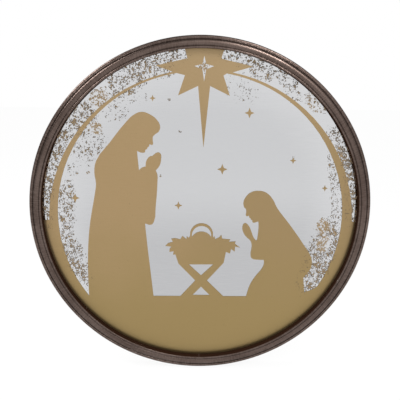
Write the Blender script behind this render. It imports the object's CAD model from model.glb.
"""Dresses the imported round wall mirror: finishes, smooth metalwork, light and camera.

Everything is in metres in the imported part's frame, where the front of the mirror faces -Y and +Z is
up. Turned and bent pieces are drawn facing the viewer, with X to the right, Y up, Z towards the
viewer and the front of the glass at Z = 0, and are then stood upright.
"""
import logging
import math
from dataclasses import dataclass, field
from enum import Enum

import bmesh
import bpy
from mathutils import Matrix, Vector


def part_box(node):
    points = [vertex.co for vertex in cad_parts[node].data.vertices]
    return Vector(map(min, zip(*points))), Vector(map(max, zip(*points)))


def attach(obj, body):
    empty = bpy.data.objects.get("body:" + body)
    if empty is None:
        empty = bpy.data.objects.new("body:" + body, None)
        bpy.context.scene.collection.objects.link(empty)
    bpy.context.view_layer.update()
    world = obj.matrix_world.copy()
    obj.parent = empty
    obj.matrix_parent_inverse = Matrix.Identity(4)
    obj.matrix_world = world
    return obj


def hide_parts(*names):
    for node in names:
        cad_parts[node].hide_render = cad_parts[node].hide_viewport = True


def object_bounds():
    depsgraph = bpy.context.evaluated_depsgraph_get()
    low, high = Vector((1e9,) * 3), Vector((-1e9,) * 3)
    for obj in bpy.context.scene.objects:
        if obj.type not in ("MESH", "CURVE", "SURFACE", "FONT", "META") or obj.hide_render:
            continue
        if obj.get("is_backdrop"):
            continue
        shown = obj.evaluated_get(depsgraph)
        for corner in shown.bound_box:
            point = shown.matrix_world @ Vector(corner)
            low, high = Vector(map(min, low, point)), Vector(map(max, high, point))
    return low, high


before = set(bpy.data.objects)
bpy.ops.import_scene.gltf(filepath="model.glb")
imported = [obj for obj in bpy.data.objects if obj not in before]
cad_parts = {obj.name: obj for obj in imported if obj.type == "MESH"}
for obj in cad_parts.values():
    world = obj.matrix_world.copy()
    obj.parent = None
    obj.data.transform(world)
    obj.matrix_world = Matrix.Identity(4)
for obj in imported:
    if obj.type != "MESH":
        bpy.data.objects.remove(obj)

log = logging.getLogger("nativity_mirror")

Colour = tuple[float, float, float]
Point = tuple[float, float, float]
Socket = bpy.types.NodeSocket
Amount = bpy.types.NodeSocket | float

FIT = 0.0003
WELD = 0.000001


class Body(Enum):
    """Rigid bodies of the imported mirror."""

    MIRROR = "mirror"
    RING_LEFT = "ring_left"
    RING_RIGHT = "ring_right"


class Slot(Enum):
    """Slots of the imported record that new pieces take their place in."""

    FRAME = "frame_bronze"
    ZINC = "zinc_plate"
    RUBBER = "bumper_rubber"


class Side(Enum):
    """Left or right hanger, seen from the front."""

    LEFT = -1
    RIGHT = 1


class Wiring:
    """Adds and joins the nodes of one node tree."""

    def __init__(self, tree: bpy.types.NodeTree) -> None:
        """Start on a tree.

        Args:
            tree: The node tree.
        """
        self.tree = tree

    def add(self, kind: str, **settings: object) -> bpy.types.Node:
        """Add a node.

        Args:
            kind: The node's type.
            settings: Properties to set on it.

        Returns:
            The new node.
        """
        node = self.tree.nodes.new(kind)
        for name, value in settings.items():
            setattr(node, name, value)
        return node

    def feed(self, socket: Socket, value: object) -> None:
        """Link a socket to an output, or set its own value.

        Args:
            socket: The input socket.
            value: An output socket, a number, a colour or a vector.
        """
        if isinstance(value, bpy.types.NodeSocket):
            self.tree.links.new(value, socket)
        elif isinstance(value, tuple) and len(value) == 3 and socket.type == "RGBA":
            socket.default_value = (*value, 1.0)
        else:
            socket.default_value = value

    def math(self, operation: str, first: Amount, second: Amount = 0.0) -> Socket:
        """Combine two amounts.

        Args:
            operation: Name of the Math node's operation.
            first: First amount.
            second: Second amount.

        Returns:
            The result.
        """
        node = self.add("ShaderNodeMath", operation=operation)
        self.feed(node.inputs[0], first)
        self.feed(node.inputs[1], second)
        return node.outputs[0]

    def rise(self, value: Amount, low: Amount, high: Amount) -> Socket:
        """Turn an amount into a smooth step.

        Args:
            value: The amount.
            low: Where the step is still 0.
            high: Where the step has become 1.

        Returns:
            A share from 0 to 1.
        """
        node = self.add("ShaderNodeMapRange", interpolation_type="SMOOTHSTEP")
        self.feed(node.inputs["Value"], value)
        self.feed(node.inputs["From Min"], low)
        self.feed(node.inputs["From Max"], high)
        return node.outputs["Result"]

    def span(self, value: Amount, low: float, high: float, soft: float) -> Socket:
        """Mark a stretch of an amount.

        Args:
            value: The amount.
            low: Start of the stretch.
            high: End of the stretch.
            soft: Width over which each end fades.

        Returns:
            A share from 0 to 1.
        """
        inside = self.rise(value, low - soft, low + soft)
        beyond = self.rise(value, high - soft, high + soft)
        return self.math("SUBTRACT", inside, beyond)

    def seen(self) -> Socket:
        """Tell whether a ray comes straight from the camera, a reflection or clear glass.

        Returns:
            1 for such rays and 0 for the others.
        """
        rays = self.add("ShaderNodeLightPath")
        either = self.math("MAXIMUM", rays.outputs["Is Camera Ray"],
                           rays.outputs["Is Glossy Ray"])
        return self.math("MAXIMUM", either, rays.outputs["Is Transmission Ray"])

    def blend(self, amount: Amount, first: object, second: object) -> Socket:
        """Blend two colours.

        Args:
            amount: Share of the second colour.
            first: First colour or socket.
            second: Second colour or socket.

        Returns:
            The blended colour.
        """
        node = self.add("ShaderNodeMix", data_type="RGBA")
        self.feed(node.inputs["Factor"], amount)
        self.feed(node.inputs[6], first)
        self.feed(node.inputs[7], second)
        return node.outputs[2]

    def mixed(self, amount: Amount, first: Amount, second: Amount) -> Socket:
        """Blend two amounts.

        Args:
            amount: Share of the second.
            first: First amount.
            second: Second amount.

        Returns:
            The blended amount.
        """
        node = self.add("ShaderNodeMix", data_type="FLOAT")
        self.feed(node.inputs["Factor"], amount)
        self.feed(node.inputs[2], first)
        self.feed(node.inputs[3], second)
        return node.outputs[0]


class Graph(Wiring):
    """The node tree of one new material, wired from its Object coordinates."""

    def __init__(self, name: str) -> None:
        """Start the material.

        Args:
            name: The material's name.
        """
        self.material = bpy.data.materials.new(name)
        self.material.use_nodes = True
        super().__init__(self.material.node_tree)
        self.shader = self.tree.nodes["Principled BSDF"]
        self.place = self.add("ShaderNodeTexCoord").outputs["Object"]
        parts = self.add("ShaderNodeSeparateXYZ")
        self.feed(parts.inputs[0], self.place)
        self.x = parts.outputs["X"]
        self.y = parts.outputs["Y"]
        self.z = parts.outputs["Z"]

    def stretched(self, scale: Point) -> Socket:
        """Scale the Object coordinates.

        Args:
            scale: Factor along each axis.

        Returns:
            The scaled vector.
        """
        node = self.add("ShaderNodeVectorMath", operation="MULTIPLY")
        self.feed(node.inputs[0], self.place)
        self.feed(node.inputs[1], scale)
        return node.outputs[0]

    def joined(self, x: Amount, y: Amount, z: Amount) -> Socket:
        """Join three amounts into a vector."""
        node = self.add("ShaderNodeCombineXYZ")
        for socket, value in zip(node.inputs, (x, y, z)):
            self.feed(socket, value)
        return node.outputs[0]

    def noise(self, scale: float, detail: float = 2.0, roughness: float = 0.5,
              vector: Socket | None = None) -> Socket:
        """Add a noise pattern.

        Args:
            scale: Features in each unit of the vector.
            detail: Number of finer layers.
            roughness: How strong the finer layers are.
            vector: Where the pattern is read, or None for the Object coordinates.

        Returns:
            The pattern, around 0.5.
        """
        node = self.add("ShaderNodeTexNoise")
        self.feed(node.inputs["Vector"], self.place if vector is None else vector)
        self.feed(node.inputs["Scale"], scale)
        self.feed(node.inputs["Detail"], detail)
        self.feed(node.inputs["Roughness"], roughness)
        return node.outputs["Fac"]

    def bump(self, height: Amount, depth: float) -> None:
        """Raise the surface by a pattern.

        Args:
            height: The pattern.
            depth: Height in metres of a pattern value of 1.
        """
        node = self.add("ShaderNodeBump")
        self.feed(node.inputs["Strength"], 1.0)
        self.feed(node.inputs["Distance"], depth)
        self.feed(node.inputs["Height"], height)
        self.feed(self.shader.inputs["Normal"], node.outputs["Normal"])

    def surface(self, **sockets: object) -> None:
        """Set sockets of the shader, named in lower case with underscores."""
        for name, value in sockets.items():
            self.feed(self.shader.inputs[name.replace("_", " ").title()], value)

    def whitened(self, share: float) -> None:
        """Show the surface nearer to white where it is seen or mirrored, but not where it lights.

        Args:
            share: How far towards white.
        """
        glow = self.add("ShaderNodeEmission")
        mix = self.add("ShaderNodeMixShader")
        self.feed(mix.inputs[0], self.math("MULTIPLY", self.seen(), share))
        self.feed(mix.inputs[1], self.shader.outputs[0])
        self.feed(mix.inputs[2], glow.outputs[0])
        self.feed(self.tree.nodes["Material Output"].inputs["Surface"], mix.outputs[0])

    def bearing(self) -> Socket:
        """Bearing in degrees around the mirror: 0 at the top, 90 to the right, 180 at the bottom."""
        return self.math("MULTIPLY", self.math("ARCTAN2", self.x, self.z), 180 / math.pi)

    def radius(self) -> Socket:
        """Distance from the mirror's axis."""
        squares = self.math("ADD", self.math("MULTIPLY", self.x, self.x),
                            self.math("MULTIPLY", self.z, self.z))
        return self.math("SQRT", squares)


@dataclass(frozen=True)
class EdgeTint:
    """Brown tint beside the frame, mostly for its reflection; the top of the opening has none."""

    colour: Colour
    width: float
    full_inset: float
    share: float
    clear_height: float = 0.14
    full_height: float = 0.02

    def over(self, graph: Graph, ground: Socket, sight_radius: float) -> Socket:
        """Lay the tint over a colour.

        Args:
            graph: The material's nodes.
            ground: The colour below.
            sight_radius: Radius of the frame's opening.

        Returns:
            The tinted colour.
        """
        near = graph.rise(graph.radius(), sight_radius - self.width,
                          sight_radius - self.full_inset)
        low = graph.rise(graph.z, self.clear_height, self.full_height)
        amount = graph.math("MULTIPLY", graph.math("MULTIPLY", low, near), self.share)
        return graph.blend(amount, ground, self.colour)


@dataclass(frozen=True)
class BronzeFinish:
    """Satin dark bronze on rolled steel, with grain, dark grooves, scuffs and a ground weld."""

    body: Colour = (0.145, 0.107, 0.092)
    shade: Colour = (0.082, 0.057, 0.047)
    groove: Colour = (0.046, 0.030, 0.024)
    burnish: Colour = (0.230, 0.190, 0.165)
    wall: Colour = (0.024, 0.0110, 0.0062)
    scuff: Colour = (0.34, 0.31, 0.28)
    groove_share: float = 0.35
    worn_share: float = 0.25
    scuff_share: float = 0.55
    seam_share: float = 0.18
    metal: float = 0.88
    dull: float = 0.38
    satin: float = 0.28
    brushing: float = 0.20
    grain_depth: float = 0.000012

    def make(self, moulding: "FrameMoulding") -> bpy.types.Material:
        """Make the material.

        Args:
            moulding: The moulding, whose radii place the marks.

        Returns:
            The material.
        """
        graph = Graph("dark bronze steel")
        radius = graph.radius()
        around = graph.math("MULTIPLY", graph.math("ARCTAN2", graph.x, graph.z),
                            moulding.outer_radius)
        rolled = graph.noise(1.0, 3, 0.6, graph.joined(
            graph.math("MULTIPLY", around, 14), graph.math("MULTIPLY", radius, 700),
            graph.math("MULTIPLY", graph.y, 700)))
        streaks = graph.noise(1.0, 4, 0.65, graph.joined(
            graph.math("MULTIPLY", around, 620), graph.math("MULTIPLY", radius, 70),
            graph.math("MULTIPLY", graph.y, 70)))
        cloud = graph.noise(22, 3, 0.5)
        tone = graph.math("ADD", graph.math("MULTIPLY", rolled, 0.20),
                          graph.math("MULTIPLY", streaks, 0.55))
        tone = graph.math("ADD", tone, graph.math("MULTIPLY", cloud, 0.25))
        colour = graph.blend(graph.rise(tone, 0.40, 0.60), self.shade, self.body)
        deep = graph.span(radius, moulding.band_outer, moulding.rim_inner, 0.0003)
        fine = graph.span(radius, moulding.bead_outer, moulding.band_inner, 0.0003)
        front = graph.rise(graph.y, 0.006, 0.004)
        grooves = graph.math("MULTIPLY", graph.math("MAXIMUM", deep, fine), front)
        colour = graph.blend(graph.math("MULTIPLY", grooves, self.groove_share), colour,
                             self.groove)
        crest = graph.span(radius, moulding.rim_inner + 0.0002, moulding.rim_inner + 0.0010,
                           0.0004)
        worn = graph.math("MULTIPLY", graph.math("MULTIPLY", crest, front),
                          graph.rise(streaks, 0.35, 0.65))
        colour = graph.blend(graph.math("MULTIPLY", worn, self.worn_share), colour, self.burnish)
        inner = graph.rise(radius, moulding.sight_radius + 0.0009, moulding.sight_radius + 0.0003)
        colour = graph.blend(inner, colour, self.wall)
        chips = graph.math("MULTIPLY", graph.rise(graph.noise(300, 2, 0.5), 0.725, 0.76),
                           graph.rise(graph.noise(18, 1, 0.5), 0.48, 0.60))
        colour = graph.blend(graph.math("MULTIPLY", chips, self.scuff_share), colour, self.scuff)
        seam = graph.math("MULTIPLY", graph.rise(graph.math("ABSOLUTE", graph.x), 0.0009, 0.0003),
                          graph.rise(graph.z, 0.0, -0.05))
        colour = graph.blend(graph.math("MULTIPLY", seam, self.seam_share), colour, self.burnish)
        roughness = graph.mixed(graph.rise(tone, 0.35, 0.65), self.dull, self.satin)
        around_axis = graph.add("ShaderNodeTangent", direction_type="RADIAL", axis="Y")
        # the inner wall has no gloss, unlike the rest of the sheet
        graph.surface(base_color=colour, metallic=graph.mixed(inner, self.metal, 0.0),
                      roughness=roughness, anisotropic=self.brushing,
                      tangent=around_axis.outputs[0])
        graph.feed(graph.shader.inputs["Specular IOR Level"], graph.mixed(inner, 0.5, 0.0))
        grain = graph.math("ADD", graph.math("MULTIPLY", streaks, 0.18),
                           graph.math("MULTIPLY", rolled, 0.12))
        graph.bump(graph.math("ADD", grain, seam), self.grain_depth)
        return graph.material


@dataclass(frozen=True)
class Speckles:
    """A cluster of speckles in the silvering: its middle, half its size and how dense it is."""

    bearing: float
    radius: float
    half_degrees: float
    half_width: float
    density: float
    golden: float = 0.0


UPPER_LEFT = (
    Speckles(-10, 0.226, 7, 0.013, 0.90),
    Speckles(-15, 0.211, 5, 0.012, 0.75),
    Speckles(-21, 0.228, 7, 0.015, 0.95),
    Speckles(-30, 0.217, 10, 0.022, 0.78),
    Speckles(-29, 0.190, 5, 0.012, 0.35),
    Speckles(-40, 0.192, 6, 0.016, 0.50),
    Speckles(-42, 0.221, 4, 0.014, 0.95, 1.0),
    Speckles(-53, 0.220, 8, 0.022, 0.88),
    Speckles(-52, 0.195, 3, 0.010, 0.88, 1.0),
    Speckles(-60, 0.191, 10, 0.024, 0.60),
    Speckles(-68, 0.231, 10, 0.018, 0.92),
    Speckles(-72, 0.197, 4, 0.011, 0.50),
)
LEFT = (
    Speckles(-86, 0.230, 15, 0.013, 0.92),
    Speckles(-90, 0.201, 13, 0.015, 0.80),
    Speckles(-113, 0.206, 15, 0.017, 0.85),
)
UPPER_RIGHT = (
    Speckles(12, 0.229, 8, 0.014, 0.75),
    Speckles(23, 0.226, 6, 0.017, 0.80),
    Speckles(32, 0.231, 6, 0.014, 0.72),
    Speckles(38, 0.215, 4, 0.011, 0.55),
    Speckles(46, 0.231, 5, 0.013, 0.82, 1.0),
    Speckles(18, 0.189, 9, 0.022, 0.25),
    Speckles(61, 0.225, 5, 0.012, 0.65),
)
RIGHT = (
    Speckles(80, 0.228, 20, 0.015, 0.92),
    Speckles(86, 0.206, 20, 0.011, 0.65),
    Speckles(113, 0.199, 19, 0.027, 0.92),
    Speckles(98, 0.187, 4, 0.010, 0.95, 1.0),
    Speckles(106, 0.196, 4, 0.010, 0.95, 1.0),
)
LONE = (
    Speckles(-72, 0.175, 0.8, 0.0025, 1.0),
    Speckles(-16, 0.169, 0.8, 0.0022, 1.0),
    Speckles(-15, 0.1205, 1.1, 0.0022, 1.0),
    Speckles(-50, 0.078, 1.6, 0.0022, 1.0),
    Speckles(60, 0.158, 0.8, 0.0022, 1.0),
)
WORN_STAR = (Speckles(1, 0.210, 2.4, 0.010, 0.88, 1.0),)
ALL_SPECKLES = UPPER_LEFT + LEFT + UPPER_RIGHT + RIGHT + LONE + WORN_STAR


class SpeckleMap:
    """Where the silvering is speckled, and the flecks there, in one material's nodes."""

    def __init__(self, graph: Graph, clusters: tuple[Speckles, ...]) -> None:
        """Lay the clusters out.

        Args:
            graph: The material's nodes.
            clusters: The clusters.
        """
        self.graph = graph
        place = graph.joined(graph.bearing(), graph.radius(), 0.0)
        density: Amount = 0.0
        golden: Amount = 0.0
        for cluster in clusters:
            here = self._share(place, cluster)
            if cluster.golden:
                golden = graph.math("MAXIMUM", golden, here)
            density = graph.math("MAXIMUM", density, graph.math("MULTIPLY", here,
                                                                cluster.density))
        drift = graph.math("MULTIPLY", graph.math("SUBTRACT", graph.noise(75, 2, 0.5), 0.5), 1.1)
        inside = graph.rise(density, 0.02, 0.25)
        self.golden = golden
        self.density = graph.math("ADD", density, graph.math("MULTIPLY", drift, inside))

    def _share(self, place: Socket, cluster: Speckles) -> Socket:
        """How far a place lies inside a cluster.

        Args:
            place: Bearing and radius.
            cluster: The cluster.

        Returns:
            A share from 0 outside to 1 in the middle.
        """
        graph = self.graph
        offset = graph.add("ShaderNodeVectorMath", operation="SUBTRACT")
        graph.feed(offset.inputs[0], place)
        graph.feed(offset.inputs[1], (cluster.bearing, cluster.radius, 0.0))
        sized = graph.add("ShaderNodeVectorMath", operation="MULTIPLY")
        graph.feed(sized.inputs[0], offset.outputs[0])
        graph.feed(sized.inputs[1], (1 / cluster.half_degrees, 1 / cluster.half_width, 0.0))
        length = graph.add("ShaderNodeVectorMath", operation="LENGTH")
        graph.feed(length.inputs[0], sized.outputs[0])
        return graph.rise(length.outputs["Value"], 1.25, 0.75)

    def flecks(self, seed: float, shyness: float) -> tuple[Socket, Socket]:
        """Scatter flecks over the clusters.

        Args:
            seed: Moves the pattern, in metres.
            shyness: How much rarer they are than on the bare silvering.

        Returns:
            The share of fleck, and the share of its golden core.
        """
        graph = self.graph
        moved = graph.add("ShaderNodeVectorMath", operation="ADD")
        graph.feed(moved.inputs[0], graph.place)
        graph.feed(moved.inputs[1], (seed, seed, seed))
        flakes = graph.noise(570, 2, 0.60, moved.outputs[0])
        blotches = graph.noise(230, 2, 0.55, moved.outputs[0])
        pattern = graph.mixed(0.38, flakes, blotches)
        lack = graph.math("MULTIPLY", graph.math("SUBTRACT", 1.0, self.density), 0.17)
        limit = graph.math("ADD", lack, 0.480 + shyness)
        fleck = graph.rise(pattern, limit, graph.math("ADD", limit, 0.014))
        fleck = graph.math("MULTIPLY", fleck, graph.rise(self.density, 0.03, 0.12))
        eager = graph.math("MULTIPLY", self.golden, 0.05)
        core = graph.math("SUBTRACT", graph.math("ADD", limit, 0.052), eager)
        return fleck, graph.rise(pattern, core, graph.math("ADD", core, 0.02))


@dataclass(frozen=True)
class SilverFinish:
    """Antiqued silvering behind glass: a satin mirror with dark flecks that have golden cores."""

    silver: Colour = (0.602, 0.606, 0.618)
    pale: Colour = (0.715, 0.718, 0.728)
    low: Colour = (0.500, 0.502, 0.514)
    fleck: Colour = (0.052, 0.040, 0.031)
    core: Colour = (0.235, 0.165, 0.090)
    edge_tint: EdgeTint = EdgeTint((0.150, 0.090, 0.055), 0.0035, 0.0005, 0.55)
    roughness: float = 0.06
    fleck_roughness: float = 0.5
    clusters: tuple[Speckles, ...] = ALL_SPECKLES

    def make(self, sight_radius: float) -> bpy.types.Material:
        """Make the material.

        Args:
            sight_radius: Radius of the glass that shows inside the frame.

        Returns:
            The material.
        """
        graph = Graph("antiqued silvering")
        fleck, core = SpeckleMap(graph, self.clusters).flecks(0.0, 0.0)
        brushed = graph.noise(1.0, 3, 0.6, graph.stretched((40, 40, 1500)))
        edge = graph.rise(graph.radius(), sight_radius * 0.62, sight_radius * 0.98)
        tone = graph.math("ADD", graph.math("MULTIPLY", edge, 0.55),
                          graph.math("MULTIPLY", graph.math("SUBTRACT", brushed, 0.5), 0.7))
        below = graph.math("MULTIPLY", graph.rise(graph.z, 0.04, -0.07),
                           graph.math("SUBTRACT", 1.0, graph.math("MULTIPLY", edge, 0.6)))
        ground = graph.blend(tone, graph.blend(below, self.silver, self.low), self.pale)
        stain = graph.blend(core, self.fleck, self.core)
        colour = self.edge_tint.over(graph, graph.blend(fleck, ground, stain), sight_radius)
        graph.surface(base_color=colour, metallic=graph.mixed(fleck, 1.0, 0.1),
                      roughness=graph.mixed(fleck, self.roughness, self.fleck_roughness))
        graph.bump(graph.math("MULTIPLY", brushed, 0.05), 0.00002)
        return graph.material


@dataclass(frozen=True)
class GoldFinish:
    """Satin gold print, lighter at the left and top, more olive below, with worn flecks."""

    upper: Colour = (0.380, 0.270, 0.149)
    middle: Colour = (0.382, 0.264, 0.138)
    right: Colour = (0.324, 0.227, 0.115)
    lower: Colour = (0.316, 0.226, 0.096)
    fleck: Colour = (0.105, 0.080, 0.060)
    edge_tint: EdgeTint = EdgeTint((0.030, 0.014, 0.008), 0.005, 0.001, 0.65)
    metal: float = 0.80
    clusters: tuple[Speckles, ...] = UPPER_LEFT + LEFT + UPPER_RIGHT + RIGHT

    def make(self, sight_radius: float) -> bpy.types.Material:
        """Make the material.

        Args:
            sight_radius: Radius of the print that shows inside the frame.

        Returns:
            The material.
        """
        graph = Graph("satin gold print")
        brushed = graph.noise(1.0, 3, 0.6, graph.stretched((40, 40, 1400)))
        cloud = graph.noise(14, 2, 0.5)
        cloudy = graph.math("MULTIPLY", graph.math("SUBTRACT", cloud, 0.5), 0.10)
        drift = graph.math("ADD", graph.z, cloudy)
        across = graph.blend(graph.rise(graph.x, -0.10, 0.05), self.middle, self.right)
        colour = graph.blend(graph.rise(drift, -0.20, 0.02), self.lower, across)
        colour = graph.blend(graph.rise(drift, 0.06, 0.24), colour, self.upper)
        fine = graph.noise(1100, 2, 0.6)
        grain = graph.rise(graph.mixed(0.6, brushed, fine), 0.36, 0.64)
        colour = graph.blend(graph.math("MULTIPLY", grain, 0.30), colour, self.lower)
        specks = graph.rise(graph.noise(420, 1, 0.5), 0.76, 0.79)
        colour = graph.blend(graph.math("MULTIPLY", specks, 0.35), colour, self.fleck)
        worn, _ = SpeckleMap(graph, self.clusters).flecks(0.31, 0.075)
        colour = graph.blend(graph.math("MULTIPLY", worn, 0.6), colour, self.fleck)
        colour = self.edge_tint.over(graph, colour, sight_radius)
        graph.surface(base_color=colour, metallic=self.metal,
                      roughness=graph.mixed(brushed, 0.36, 0.46))
        graph.bump(brushed, 0.000008)
        return graph.material


@dataclass(frozen=True)
class FibreboardFinish:
    """Raw brown fibreboard with fine fibres and darker flecks."""

    pale: Colour = (0.36, 0.235, 0.135)
    deep: Colour = (0.24, 0.145, 0.078)
    fleck: Colour = (0.11, 0.062, 0.033)

    def make(self) -> bpy.types.Material:
        """Make the material.

        Returns:
            The material.
        """
        graph = Graph("raw fibreboard")
        fibres = graph.noise(1.0, 4, 0.6, graph.stretched((900, 900, 500)))
        cloud = graph.noise(30, 3, 0.55)
        tone = graph.mixed(0.4, fibres, cloud)
        colour = graph.blend(graph.rise(tone, 0.36, 0.62), self.deep, self.pale)
        flecks = graph.rise(graph.noise(340, 2, 0.6), 0.66, 0.72)
        colour = graph.blend(graph.math("MULTIPLY", flecks, 0.55), colour, self.fleck)
        graph.surface(base_color=colour, roughness=graph.mixed(fibres, 0.78, 0.92))
        graph.bump(graph.math("ADD", fibres, graph.math("MULTIPLY", flecks, -0.5)), 0.0001)
        return graph.material


@dataclass(frozen=True)
class ZincFinish:
    """Bright zinc plate on pressed steel, with a faint spangle and dull patches."""

    bright: Colour = (0.62, 0.635, 0.65)
    dull: Colour = (0.42, 0.43, 0.45)
    roughness: float = 0.30

    def make(self, name: str) -> bpy.types.Material:
        """Make the material.

        Args:
            name: The material's name.

        Returns:
            The material.
        """
        graph = Graph(name)
        spangle = graph.noise(700, 2, 0.5)
        cloud = graph.noise(120, 3, 0.6)
        tone = graph.mixed(0.6, spangle, cloud)
        colour = graph.blend(graph.rise(tone, 0.38, 0.60), self.dull, self.bright)
        rough = graph.mixed(graph.rise(tone, 0.35, 0.65), self.roughness + 0.12, self.roughness)
        graph.surface(base_color=colour, metallic=1.0, roughness=rough)
        graph.bump(spangle, 0.00001)
        return graph.material


@dataclass(frozen=True)
class PlainFinish:
    """A dull moulded or foamed finish with a fine pebbled surface."""

    name: str
    colour: Colour
    shade: Colour
    roughness: float
    grain: float
    depth: float

    def make(self) -> bpy.types.Material:
        """Make the material.

        Returns:
            The material.
        """
        graph = Graph(self.name)
        pebbles = graph.noise(self.grain, 3, 0.55)
        colour = graph.blend(graph.rise(pebbles, 0.35, 0.62), self.shade, self.colour)
        graph.surface(base_color=colour, roughness=self.roughness)
        graph.bump(pebbles, self.depth)
        return graph.material


RUBBER = PlainFinish("black rubber", (0.035, 0.034, 0.033), (0.018, 0.018, 0.018), 0.62, 1500,
                     0.00004)
FOAM = PlainFinish("white foam tape", (0.80, 0.80, 0.77), (0.62, 0.62, 0.59), 0.9, 1800, 0.0001)


def upright() -> Matrix:
    """Matrix that stands a drawing facing the viewer upright, with Z = 0 at the glass's front."""
    glass_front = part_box("mirror_glass")[0].y
    return Matrix.Translation((0, glass_front, 0)) @ Matrix.Rotation(math.radians(90), 4, "X")


def arc(centre: tuple[float, float], radius: float, start: float, end: float, count: int,
        rise: float | None = None) -> list[tuple[float, float]]:
    """Points along a circle or an ellipse.

    Args:
        centre: Its centre.
        radius: Its radius, or its first half axis.
        start: First angle in degrees.
        end: Last angle in degrees.
        count: Number of steps.
        rise: Second half axis, or None for a circle.

    Returns:
        The points, both ends included.
    """
    second = radius if rise is None else rise
    points = []
    for index in range(count + 1):
        angle = math.radians(start + (end - start) * index / count)
        points.append((centre[0] + radius * math.cos(angle), centre[1] + second * math.sin(angle)))
    return points


def turned(profile: list[tuple[float, float]], steps: int, closed: bool) -> bmesh.types.BMesh:
    """Turn a profile around Z.

    Args:
        profile: Points of radius and height.
        steps: Steps of the full turn.
        closed: Whether the profile's last point joins its first.

    Returns:
        The closed mesh.
    """
    mesh = bmesh.new()
    points = [mesh.verts.new((radius, 0.0, height)) for radius, height in profile]
    edges = [mesh.edges.new(pair) for pair in zip(points[:-1], points[1:])]
    if closed:
        edges.append(mesh.edges.new((points[-1], points[0])))
    bmesh.ops.spin(mesh, geom=points + edges, cent=(0, 0, 0), axis=(0, 0, 1),
                   angle=math.tau, steps=steps, use_merge=True)
    bmesh.ops.remove_doubles(mesh, verts=mesh.verts, dist=WELD)
    bmesh.ops.recalc_face_normals(mesh, faces=mesh.faces)
    return mesh


def object_of(mesh: bmesh.types.BMesh, name: str) -> bpy.types.Object:
    """Put a mesh into a new object in the scene.

    Args:
        mesh: The mesh, which is freed.
        name: The object's name.

    Returns:
        The object.
    """
    data = bpy.data.meshes.new(name)
    mesh.to_mesh(data)
    mesh.free()
    piece = bpy.data.objects.new(name, data)
    bpy.context.scene.collection.objects.link(piece)
    return piece


def applied(piece: bpy.types.Object) -> bpy.types.Object:
    """Apply an object's modifiers to its mesh.

    Args:
        piece: The object.

    Returns:
        The same object.
    """
    bpy.context.view_layer.update()
    graph = bpy.context.evaluated_depsgraph_get()
    made = bpy.data.meshes.new_from_object(piece.evaluated_get(graph), depsgraph=graph)
    piece.modifiers.clear()
    piece.data = made
    return piece


def placed(piece: bpy.types.Object, matrix: Matrix, finish: bpy.types.Material, body: Body,
           node: str, sharp: float = 32.0) -> bpy.types.Object:
    """Set a finished piece in its place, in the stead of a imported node.

    Args:
        piece: The piece, whose mesh is moved.
        matrix: Where it goes.
        finish: Its material.
        body: The body that it rides on.
        node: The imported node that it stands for.
        sharp: Angle in degrees above which an edge stays sharp.

    Returns:
        The same piece.
    """
    piece.data.transform(matrix)
    piece.data.materials.clear()
    piece.data.materials.append(finish)
    piece.data.shade_smooth()
    piece.data.set_sharp_from_angle(angle=math.radians(sharp))
    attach(piece, body.value)
    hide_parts(node)
    log.info("%s: %d faces", piece.name, len(piece.data.polygons))
    return piece


def copied(piece: bpy.types.Object, name: str) -> bpy.types.Object:
    """Copy a piece with its mesh.

    Args:
        piece: The piece.
        name: The copy's name.

    Returns:
        The copy.
    """
    twin = bpy.data.objects.new(name, piece.data.copy())
    bpy.context.scene.collection.objects.link(twin)
    return twin


def dressed(node: str, finish: bpy.types.Material) -> None:
    """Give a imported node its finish.

    Args:
        node: The node's name.
        finish: Its material.
    """
    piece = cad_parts[node]
    piece.data.materials.clear()
    piece.data.materials.append(finish)
    log.info("%s: %s", node, finish.name)


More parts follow.
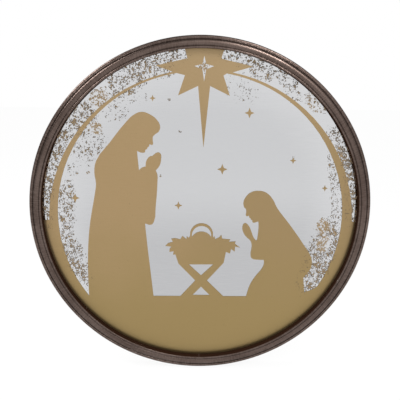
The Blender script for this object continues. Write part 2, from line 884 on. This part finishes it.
@dataclass
class FrameMoulding:
    """The rolled and welded steel frame, with its seat flange and its rear flange."""

    outer_radius: float = 0.254
    face_width: float = 0.0184
    depth: float = 0.0275
    lip_rise: float = 0.0125
    sheet: float = 0.0012
    rear_flange: float = 0.011
    seat_flange: float = 0.004
    seat_depth: float = 0.0009
    rim_drop: float = 0.0033
    rim_round: float = 0.003
    rim_flat: float = 0.0016
    groove_width: float = 0.0012
    groove_depth: float = 0.0008
    foot_rise: float = 0.0003
    bead_width: float = 0.0038
    bead_height: float = 0.0019
    band_drop: float = 0.0008
    band_shoulder: float = 0.0014
    fine_groove: float = 0.0008
    edge_round: float = 0.0003
    shoulder_width: float = 0.0023
    shoulder_drop: float = 0.0013
    ridge_width: float = 0.0015
    ridge_rise: float = 0.0006
    steps: int = 288

    @property
    def sight_radius(self) -> float:
        """Radius of the opening."""
        return self.outer_radius - self.face_width

    @property
    def rim_inner(self) -> float:
        """Inner radius of the outer rim."""
        return self.outer_radius - self.rim_round - self.rim_flat

    @property
    def band_outer(self) -> float:
        """Outer radius of the broad band."""
        return self.rim_inner - self.groove_width

    @property
    def bead_outer(self) -> float:
        """Outer radius of the bead."""
        return self.sight_radius + self.bead_width

    @property
    def band_inner(self) -> float:
        """Inner radius of the broad band."""
        return self.bead_outer + self.fine_groove

    @property
    def back(self) -> float:
        """Height of the rear flange's back face."""
        return self.lip_rise - self.depth

    def profile(self) -> list[tuple[float, float]]:
        """Section of the sheet, from the rim's foot inwards and back along the face.

        Returns:
            Points of radius and height.
        """
        rim_top = self.lip_rise - self.rim_drop
        groove_bottom = rim_top - self.groove_depth
        groove_middle = self.rim_inner - self.groove_width / 2
        band_foot = groove_bottom + self.foot_rise
        band_crest = self.band_inner + self.band_shoulder
        band_top = self.lip_rise - self.band_drop
        fine_middle = self.bead_outer + self.fine_groove / 2
        fine_bottom = band_top - self.fine_groove
        bead_middle = self.sight_radius + self.bead_width / 2
        bead_base = self.lip_rise - self.bead_height
        flange_front = self.back + self.sheet
        flange_end = self.outer_radius - self.rear_flange
        inside_wall = self.outer_radius - self.sheet
        seat_end = self.sight_radius + self.seat_flange
        bend = self.edge_round * 2

        points = arc((self.outer_radius - bend, self.back + bend), bend, 0, -90, 5)
        points += [(flange_end, self.back), (flange_end, flange_front)]
        points += [(inside_wall, flange_front)]
        points += arc((self.outer_radius - self.rim_round, rim_top - self.rim_round),
                      self.rim_round - self.sheet, 0, 90, 4)
        points += [(self.band_outer, groove_bottom - self.sheet)]
        points += arc((band_crest, band_foot), self.band_outer - band_crest - self.sheet, 15, 90,
                      3, rise=band_top - band_foot - self.sheet)
        points += [(fine_middle, fine_bottom - self.sheet), (bead_middle, self.lip_rise
                                                             - self.sheet)]
        points += [(self.sight_radius + self.sheet, bead_base - self.sheet / 2)]
        points += [(self.sight_radius + self.sheet, self.seat_depth + self.sheet)]
        points += [(seat_end, self.seat_depth + self.sheet), (seat_end, self.seat_depth)]
        points += arc((self.sight_radius + self.edge_round, self.seat_depth + self.edge_round),
                      self.edge_round, -90, -180, 4)
        points += arc((bead_middle, bead_base), self.bead_width / 2, 180, 20, 14,
                      rise=self.bead_height)
        points += arc((fine_middle, fine_bottom + self.edge_round), self.edge_round, -150, -60, 3)
        crest = self.bead_outer + self.fine_groove / 2 + self.shoulder_width
        points += arc((crest, band_top - self.shoulder_drop), self.shoulder_width, 160, 96, 10,
                      rise=self.shoulder_drop)
        points += arc((crest, band_foot), self.band_outer - crest, 90, 4, 20,
                      rise=band_top - band_foot)
        points += arc((groove_middle, groove_bottom + self.edge_round), self.edge_round,
                      -150, -30, 4)
        ridge = self.ridge_width / 2
        points += arc((self.rim_inner + ridge, rim_top - self.ridge_rise / 2), ridge, 170, 20, 10,
                      rise=self.ridge_rise)
        points += arc((self.outer_radius - self.rim_round, rim_top - self.rim_round),
                      self.rim_round, 84, 0, 12)
        return points

    def build(self) -> bpy.types.Object:
        """Turn the moulding.

        Returns:
            The ring, drawn facing the viewer.
        """
        return object_of(turned(self.profile(), self.steps, closed=True), "frame_moulding")

    def dress(self) -> None:
        """Place and finish the ring."""
        placed(self.build(), upright(), BronzeFinish().make(self), Body.MIRROR,
               "frame_ring", sharp=50.0)


@dataclass
class PrintedGlass:
    """The antiqued mirror glass, the gold scene printed on it and the foam pads behind it."""

    star_count: int = 7
    pad_count: int = 4

    def dress(self, sight_radius: float) -> None:
        """Finish the glass, the prints and the pads.

        Args:
            sight_radius: Radius of the frame's opening.
        """
        dressed("mirror_glass", SilverFinish().make(sight_radius))
        gold = GoldFinish().make(sight_radius)
        dressed("gold_print", gold)
        for number in range(1, self.star_count + 1):
            dressed("star_print_%d" % number, gold)
        foam = FOAM.make()
        for number in range(1, self.pad_count + 1):
            dressed("glass_pad_%d" % number, foam)


@dataclass
class ScrewHead:
    """A pan-head screw with a cross recess; its head rests at Z = 0 and points to the back."""

    shank: float = 0.0015
    head: float = 0.0032
    height: float = 0.0016
    shoulder: float = 0.0005
    edge: float = 0.0002
    dome: float = 0.0009
    grip: float = 0.0050
    cross_span: float = 0.0036
    cross_width: float = 0.0008
    cross_depth: float = 0.0009
    pitch: float = 0.0010
    steps: int = 40

    def profile(self) -> list[tuple[float, float]]:
        """Section of the screw, from its point to the top of its head.

        Returns:
            Points of radius and height.
        """
        points = [(0.0, self.grip)]
        height = self.grip - self.shank
        points.append((self.shank * 0.4, self.grip - self.shank * 0.3))
        while height > self.pitch:
            points.append((self.shank, height))
            points.append((self.shank * 0.8, height - self.pitch / 2))
            height -= self.pitch
        points += [(self.shank, height), (self.shank, 0.0), (self.head - self.edge, 0.0)]
        points += [(self.head, -self.edge), (self.head, -self.shoulder)]
        points += arc((self.head - self.dome, -self.shoulder), self.dome, 0, -70, 6,
                      rise=self.height - self.shoulder - 0.0001)
        points.append((0.0, -self.height))
        return points

    def build(self, name: str) -> bpy.types.Object:
        """Turn the screw and sink its cross recess.

        Args:
            name: The object's name.

        Returns:
            The screw.
        """
        screw = object_of(turned(self.profile(), self.steps, closed=False), name)
        blades = []
        for turn in (0, 90):
            blade = bmesh.new()
            bmesh.ops.create_cube(blade, size=1.0)
            bmesh.ops.scale(blade, vec=(self.cross_span, self.cross_width, self.cross_depth * 2),
                            verts=blade.verts)
            deep = [vert for vert in blade.verts if vert.co.z > 0]
            bmesh.ops.scale(blade, vec=(0.55, 0.7, 1.0), verts=deep)
            bmesh.ops.rotate(blade, matrix=Matrix.Rotation(math.radians(turn), 3, "Z"),
                             verts=blade.verts)
            bmesh.ops.translate(blade, vec=(0, 0, -self.height), verts=blade.verts)
            blades.append(object_of(blade, "%s_blade_%d" % (name, turn)))
            cut = screw.modifiers.new("cross", "BOOLEAN")
            cut.operation = "DIFFERENCE"
            cut.solver = "EXACT"
            cut.object = blades[-1]
        applied(screw)
        for blade in blades:
            bpy.data.objects.remove(blade, do_unlink=True)
        return screw


@dataclass
class BentStrip:
    """A strip of sheet bent along a path, with rounded corners and softened edges."""

    width: float
    thickness: float
    corner: float
    edge: float = 0.00015

    def build(self, path: list[tuple[float, float]], name: str,
              round_start: bool, round_end: bool) -> bpy.types.Object:
        """Bend the strip.

        Args:
            path: Middle line of the strip in X and Z; its width runs along Y.
            name: The object's name.
            round_start: Whether the first end has rounded corners.
            round_end: Whether the last end has rounded corners.

        Returns:
            The strip.
        """
        mesh = bmesh.new()
        line = [mesh.verts.new((x, -self.width / 2, z)) for x, z in path]
        edges = [mesh.edges.new(pair) for pair in zip(line[:-1], line[1:])]
        swept = bmesh.ops.extrude_edge_only(mesh, edges=edges)
        moved = [item for item in swept["geom"] if isinstance(item, bmesh.types.BMVert)]
        bmesh.ops.translate(mesh, vec=(0, self.width, 0), verts=moved)
        ends = []
        for wanted, spot in ((round_start, path[0]), (round_end, path[-1])):
            if wanted:
                ends += [vert for vert in mesh.verts
                         if math.dist((vert.co.x, vert.co.z), spot) < WELD]
        bmesh.ops.bevel(mesh, geom=ends, offset=self.corner, segments=5, profile=0.5,
                        affect="VERTICES", material=-1)
        bmesh.ops.recalc_face_normals(mesh, faces=mesh.faces)
        strip = object_of(mesh, name)
        wall = strip.modifiers.new("wall", "SOLIDIFY")
        wall.thickness = self.thickness
        wall.offset = 0.0
        soft = strip.modifiers.new("edges", "BEVEL")
        soft.width = self.edge
        soft.segments = 2
        soft.limit_method = "ANGLE"
        soft.angle_limit = math.radians(50)
        return applied(strip)


class WireBender:
    """Bends a round wire in its XY plane, one straight or bend after another."""

    def __init__(self, diameter: float, start: tuple[float, float], sides: int = 20) -> None:
        """Start the wire, heading along +X.

        Args:
            diameter: The wire's diameter.
            start: Where its middle line starts.
            sides: Number of sides of its section.
        """
        self.mesh = bmesh.new()
        self.spot = Vector((*start, 0.0))
        self.heading = Vector((1.0, 0.0, 0.0))
        turn = Matrix.Translation(self.spot) @ Matrix.Rotation(math.radians(90), 4, "Y")
        bmesh.ops.create_circle(self.mesh, segments=sides, radius=diameter / 2, matrix=turn)
        self.end = list(self.mesh.edges)

    def straight(self, length: float) -> None:
        """Run straight on.

        Args:
            length: How far.
        """
        drawn = bmesh.ops.extrude_edge_only(self.mesh, edges=self.end)["geom"]
        verts = [item for item in drawn if isinstance(item, bmesh.types.BMVert)]
        step = self.heading * length
        bmesh.ops.translate(self.mesh, vec=step, verts=verts)
        self.end = self._loop(verts)
        self.spot += step

    def bend(self, radius: float, degrees: float, steps: int) -> None:
        """Bend to the right.

        Args:
            radius: Radius of the middle line.
            degrees: How far round.
            steps: Steps of the bend.
        """
        side = Vector((self.heading.y, -self.heading.x, 0.0))
        centre = self.spot + side * radius
        verts = {vert for edge in self.end for vert in edge.verts}
        spun = bmesh.ops.spin(self.mesh, geom=list(verts) + self.end, cent=centre,
                              axis=(0, 0, -1), angle=math.radians(degrees), steps=steps)
        last = [item for item in spun["geom_last"] if isinstance(item, bmesh.types.BMVert)]
        self.end = self._loop(last)
        turn = Matrix.Rotation(math.radians(-degrees), 3, "Z")
        self.spot = centre + turn @ (self.spot - centre)
        self.heading = turn @ self.heading

    def closed(self, name: str) -> bpy.types.Object:
        """Join the wire's end to its start.

        Args:
            name: The object's name.

        Returns:
            The wire.
        """
        bmesh.ops.remove_doubles(self.mesh, verts=self.mesh.verts, dist=WELD * 10)
        bmesh.ops.recalc_face_normals(self.mesh, faces=self.mesh.faces)
        return object_of(self.mesh, name)

    @staticmethod
    def _loop(verts: list[bmesh.types.BMVert]) -> list[bmesh.types.BMEdge]:
        """Edges that join the given section's corners."""
        members = set(verts)
        return [edge for edge in {e for v in verts for e in v.link_edges}
                if edge.verts[0] in members and edge.verts[1] in members]


@dataclass
class BackAssembly:
    """Backing board, clips and their screws behind the glass."""

    board_radius: float = 0.240
    board_back: float = -0.0096
    flange_front: float = -0.0138
    clip_count: int = 6
    clip_thickness: float = 0.0015
    clip_width: float = 0.014
    clip_foot: float = 0.018
    clip_tip: float = 0.251
    clip_screw_inset: float = 0.011
    clip_corner: float = 0.0025
    clip_edge: float = 0.0002
    screw_bite: float = 0.0035
    screw_turn: float = 37.0

    def clip_path(self) -> list[tuple[float, float]]:
        """Middle line of a clip in radius and height.

        Returns:
            The points, from the foot to the tab.
        """
        half = self.clip_thickness / 2
        foot = self.board_back - FIT - half
        tab = self.flange_front + FIT + half
        ease = self.clip_thickness * 0.4
        bend = self.board_radius + half - ease
        lean = foot - tab
        return [(self.board_radius - self.clip_foot, foot), (bend - ease, foot),
                (bend + ease / 2, foot - ease / 2), (bend + lean, tab + ease / 2),
                (bend + lean + ease, tab), (self.clip_tip, tab)]

    def dress(self, zinc: bpy.types.Material, steel: bpy.types.Material) -> None:
        """Finish the board, and place the clips with their screws.

        Args:
            zinc: Finish of the clips.
            steel: Finish of the screws.
        """
        dressed("backing_board", FibreboardFinish().make())
        strip = BentStrip(self.clip_width, self.clip_thickness, self.clip_corner, self.clip_edge)
        clip = strip.build(self.clip_path(), "clip_blank", True, True)
        grip = self.clip_thickness + 2 * FIT + self.screw_bite
        screw = ScrewHead(grip=grip).build("screw_blank")
        head = self.board_back - 2 * FIT - self.clip_thickness
        for index in range(self.clip_count):
            angle = 360.0 * (index + 0.5) / self.clip_count
            turn = Matrix.Rotation(math.radians(angle), 4, "Z")
            number = index + 1
            placed(copied(clip, "offset_clip_%d" % number), upright() @ turn, zinc, Body.MIRROR,
                   "retaining_clip_%d" % number)
            spot = Matrix.Translation((self.board_radius - self.clip_screw_inset, 0, head))
            spun = Matrix.Rotation(math.radians(self.screw_turn * number), 4, "Z")
            placed(copied(screw, "pan_screw_%d" % number), upright() @ turn @ spot @ spun, steel,
                   Body.MIRROR, "clip_screw_%d" % number)
        for blank in (clip, screw):
            bpy.data.objects.remove(blank, do_unlink=True)


@dataclass
class Hangers:
    """Two strap hangers with their screws and their swinging D rings."""

    spread: float = 0.26
    height: float = 0.09
    board_back: float = -0.0096
    strap_thickness: float = 0.001
    strap_width: float = 0.012
    strap_length: float = 0.034
    strap_corner: float = 0.0035
    screw_inset: float = 0.007
    wire: float = 0.0025
    ring_width: float = 0.022
    ring_drop: float = 0.0175
    ring_corner: float = 0.003
    screw_bite: float = 0.0035

    def strap_path(self) -> list[tuple[float, float]]:
        """Middle line of the strap: its plate, then its rolled eye, in height and depth.

        Returns:
            The points; height runs along X and depth along Z.
        """
        radius = self.wire / 2 + FIT + self.strap_thickness / 2
        eye = arc((0, 0), radius, 90, -205, 30)
        points = [(-self.strap_length, radius), (-radius, radius)]
        return points + [(x, z) for x, z in eye]

    def ring(self) -> bpy.types.Object:
        """Bend one D ring, hanging down from its bar.

        Returns:
            The ring, with its bar's middle at the origin.
        """
        half = self.ring_width / 2
        bar = self.ring_width - 2 * self.ring_corner
        bender = WireBender(self.wire, (-bar / 2, 0.0), sides=24)
        bender.straight(bar)
        bender.bend(self.ring_corner, 90, 8)
        bender.straight(self.ring_drop - half - self.ring_corner)
        bender.bend(half, 180, 32)
        bender.straight(self.ring_drop - half - self.ring_corner)
        bender.bend(self.ring_corner, 90, 8)
        return bender.closed("ring_blank")

    def dress(self, zinc: bpy.types.Material, steel: bpy.types.Material) -> None:
        """Place the straps, screws and rings.

        Args:
            zinc: Finish of the straps and rings.
            steel: Finish of the screws.
        """
        eye = self.wire / 2 + FIT + self.strap_thickness
        axis_depth = self.board_back - FIT - eye
        head_depth = self.board_back - 2 * FIT - self.strap_thickness
        strip = BentStrip(self.strap_width, self.strap_thickness, self.strap_corner)
        strap = strip.build(self.strap_path(), "strap_blank", True, False)
        # the path runs along X, and the strap hangs along Y
        strap.data.transform(Matrix.Rotation(math.radians(90), 4, "Z"))
        ring = self.ring()
        grip = self.strap_thickness + 2 * FIT + self.screw_bite
        screw = ScrewHead(grip=grip).build("screw_blank")
        drop = self.strap_length - self.screw_inset
        for side, body in ((Side.LEFT, Body.RING_LEFT), (Side.RIGHT, Body.RING_RIGHT)):
            word = side.name.lower()
            x = side.value * self.spread / 2
            axis = upright() @ Matrix.Translation((x, self.height, axis_depth))
            placed(copied(strap, "strap_" + word), axis, zinc, Body.MIRROR,
                   "hanger_strap_" + word)
            placed(copied(ring, "d_ring_" + word), axis, zinc, body,
                   "hanger_ring_" + word)
            spot = upright() @ Matrix.Translation((x, self.height - drop, head_depth))
            spun = Matrix.Rotation(math.radians(20.0 + 31.0 * side.value), 4, "Z")
            placed(copied(screw, "strap_screw_" + word), spot @ spun, steel, Body.MIRROR,
                   "hanger_screw_" + word)
        for blank in (strap, ring, screw):
            bpy.data.objects.remove(blank, do_unlink=True)


@dataclass
class WallBumpers:
    """Round rubber bumpers on the frame's rear flange."""

    radius: float = 0.0045
    thickness: float = 0.0025
    edge: float = 0.0009
    ring_radius: float = 0.2485
    front: float = -0.0153
    bearings: tuple[float, ...] = (45.0, 135.0, 225.0, 315.0)

    def profile(self) -> list[tuple[float, float]]:
        """Section of a bumper, from its front centre round to its back centre.

        Returns:
            Points of radius and height.
        """
        back = -self.thickness
        points = [(0.0, 0.0), (self.radius, 0.0)]
        points += arc((self.radius - self.edge, back + self.edge), self.edge, 0, -90, 6)
        points.append((0.0, back))
        return points

    def dress(self) -> None:
        """Place the bumpers."""
        rubber = RUBBER.make()
        for number, bearing in enumerate(self.bearings, start=1):
            bumper = object_of(turned(self.profile(), 40, closed=False), "bumper_%d" % number)
            angle = math.radians(bearing)
            spot = Matrix.Translation((self.ring_radius * math.cos(angle),
                                       self.ring_radius * math.sin(angle), self.front))
            placed(bumper, upright() @ spot, rubber, Body.MIRROR,
                   "wall_bumper_%d" % number)


@dataclass(frozen=True)
class Softbox:
    """One rectangular studio light, aimed at the mirror's centre."""

    name: str
    bearing: float
    lean: float
    distance: float
    width: float
    height: float
    power: float
    colour: Colour = (1.0, 1.0, 1.0)

    def place(self) -> None:
        """Hang the light: bearing is around the mirror's axis, lean is away from that axis."""
        lamp = bpy.data.lights.new(self.name, "AREA")
        lamp.shape = "RECTANGLE"
        lamp.size = self.width
        lamp.size_y = self.height
        lamp.energy = self.power
        lamp.color = self.colour
        holder = bpy.data.objects.new(self.name, lamp)
        bearing = math.radians(self.bearing)
        lean = math.radians(self.lean)
        towards = Vector((math.sin(bearing) * math.sin(lean), -math.cos(lean),
                          math.cos(bearing) * math.sin(lean)))
        holder.location = towards * self.distance
        holder.rotation_euler = towards.to_track_quat("Z", "Y").to_euler()
        bpy.context.scene.collection.objects.link(holder)


@dataclass
class Studio:
    """Pale floor, white surroundings, soft lights and the camera of the photograph."""

    floor_size: float = 8.0
    floor_colour: Colour = (0.90, 0.90, 0.90)
    floor_white: float = 0.93
    fill: float = 0.85
    dark_bearing: float = -50.0
    side_level: float = 0.62
    dark_level: float = 0.15
    lights: tuple[Softbox, ...] = field(default_factory=lambda: (
        Softbox("key light", 30.0, 52.0, 1.5, 0.30, 0.50, 12.0),
        Softbox("edge light", -47.0, 88.0, 1.6, 1.00, 0.50, 22.0),
    ))
    distance: float = 1.016
    elevation: float = 13.389
    azimuth: float = -0.979
    roll: float = 0.6
    aim_x: float = -0.00086
    aim_y: float = -0.007
    aim_z: float = 0.0152
    focal_pixels: float = 683.71
    image_pixels: float = 400.0
    sensor: float = 36.0

    def floor(self) -> None:
        """Lay the floor just under the mirror."""
        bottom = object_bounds()[0][2]
        mesh = bmesh.new()
        bmesh.ops.create_grid(mesh, x_segments=1, y_segments=1, size=self.floor_size / 2)
        bmesh.ops.translate(mesh, vec=(0, 0, bottom - 0.0005), verts=mesh.verts)
        floor = object_of(mesh, "floor")
        graph = Graph("pale floor")
        graph.surface(base_color=self.floor_colour, roughness=0.9)
        graph.whitened(self.floor_white)
        floor.data.materials.append(graph.material)
        floor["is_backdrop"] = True

    def surroundings(self) -> None:
        """Light the world: white in front, dimmer to the sides and dark at the upper left."""
        world = bpy.data.worlds.new("studio")
        world.use_nodes = True
        bpy.context.scene.world = world
        sky = Wiring(world.node_tree)
        background = sky.tree.nodes["Background"]
        background.inputs["Color"].default_value = (1.0, 1.0, 1.0, 1.0)
        parts = sky.add("ShaderNodeSeparateXYZ")
        sky.feed(parts.inputs[0], sky.add("ShaderNodeTexCoord").outputs["Generated"])
        away = sky.math("MULTIPLY", parts.outputs["Y"], -1.0)
        front = sky.rise(away, 0.62, 0.82)
        shy = math.radians(self.dark_bearing)
        lean = sky.math("ADD", sky.math("MULTIPLY", parts.outputs["X"], math.sin(shy)),
                        sky.math("MULTIPLY", parts.outputs["Z"], math.cos(shy)))
        around = sky.mixed(sky.rise(lean, 0.18, 0.58), self.side_level, self.dark_level)
        mirrored = sky.mixed(front, around, 1.0)
        rays = sky.add("ShaderNodeLightPath")
        straight = sky.math("MAXIMUM", rays.outputs["Is Camera Ray"],
                            rays.outputs["Is Transmission Ray"])
        strength = sky.mixed(rays.outputs["Is Glossy Ray"], self.fill, mirrored)
        sky.feed(background.inputs["Strength"], sky.mixed(straight, strength, 1.0))

    def camera(self) -> None:
        """Stand the camera where the photograph was taken from."""
        elevation = math.radians(self.elevation)
        azimuth = math.radians(self.azimuth)
        roll = math.radians(self.roll)
        away = Vector((math.sin(azimuth) * math.cos(elevation),
                       -math.cos(azimuth) * math.cos(elevation), math.sin(elevation)))
        level = (-away).cross(Vector((0, 0, 1))).normalized()
        raised = level.cross(-away)
        right = level * math.cos(roll) + raised * math.sin(roll)
        up = raised * math.cos(roll) - level * math.sin(roll)
        lens = bpy.data.cameras.new("camera")
        lens.sensor_width = self.sensor
        lens.lens = self.focal_pixels / self.image_pixels * self.sensor
        holder = bpy.data.objects.new("camera", lens)
        glass_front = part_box("mirror_glass")[0].y
        aim = Vector((self.aim_x, glass_front + self.aim_y, self.aim_z))
        spot = away * self.distance + aim
        turn = Matrix((right, up, away)).transposed().to_4x4()
        holder.matrix_world = Matrix.Translation(spot) @ turn
        bpy.context.scene.collection.objects.link(holder)
        bpy.context.scene.camera = holder

    def build(self) -> None:
        """Build the whole studio."""
        self.floor()
        self.surroundings()
        for light in self.lights:
            light.place()
        self.camera()
        bpy.context.scene.view_settings.view_transform = "Standard"


def main() -> None:
    """Build the mirror's looks and its studio, in order, and note the boxes."""
    logging.basicConfig(level=logging.INFO, format="%(message)s")
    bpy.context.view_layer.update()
    moulding = FrameMoulding()
    moulding.dress()
    PrintedGlass().dress(moulding.sight_radius)
    zinc = ZincFinish().make("zinc plate")
    steel = ZincFinish((0.66, 0.67, 0.68), (0.46, 0.47, 0.48), 0.24).make("screw zinc")
    BackAssembly().dress(zinc, steel)
    Hangers().dress(zinc, steel)
    WallBumpers().dress()
    Studio().build()
    log.info("mirror dressed")


if __name__ == "__main__":
    main()
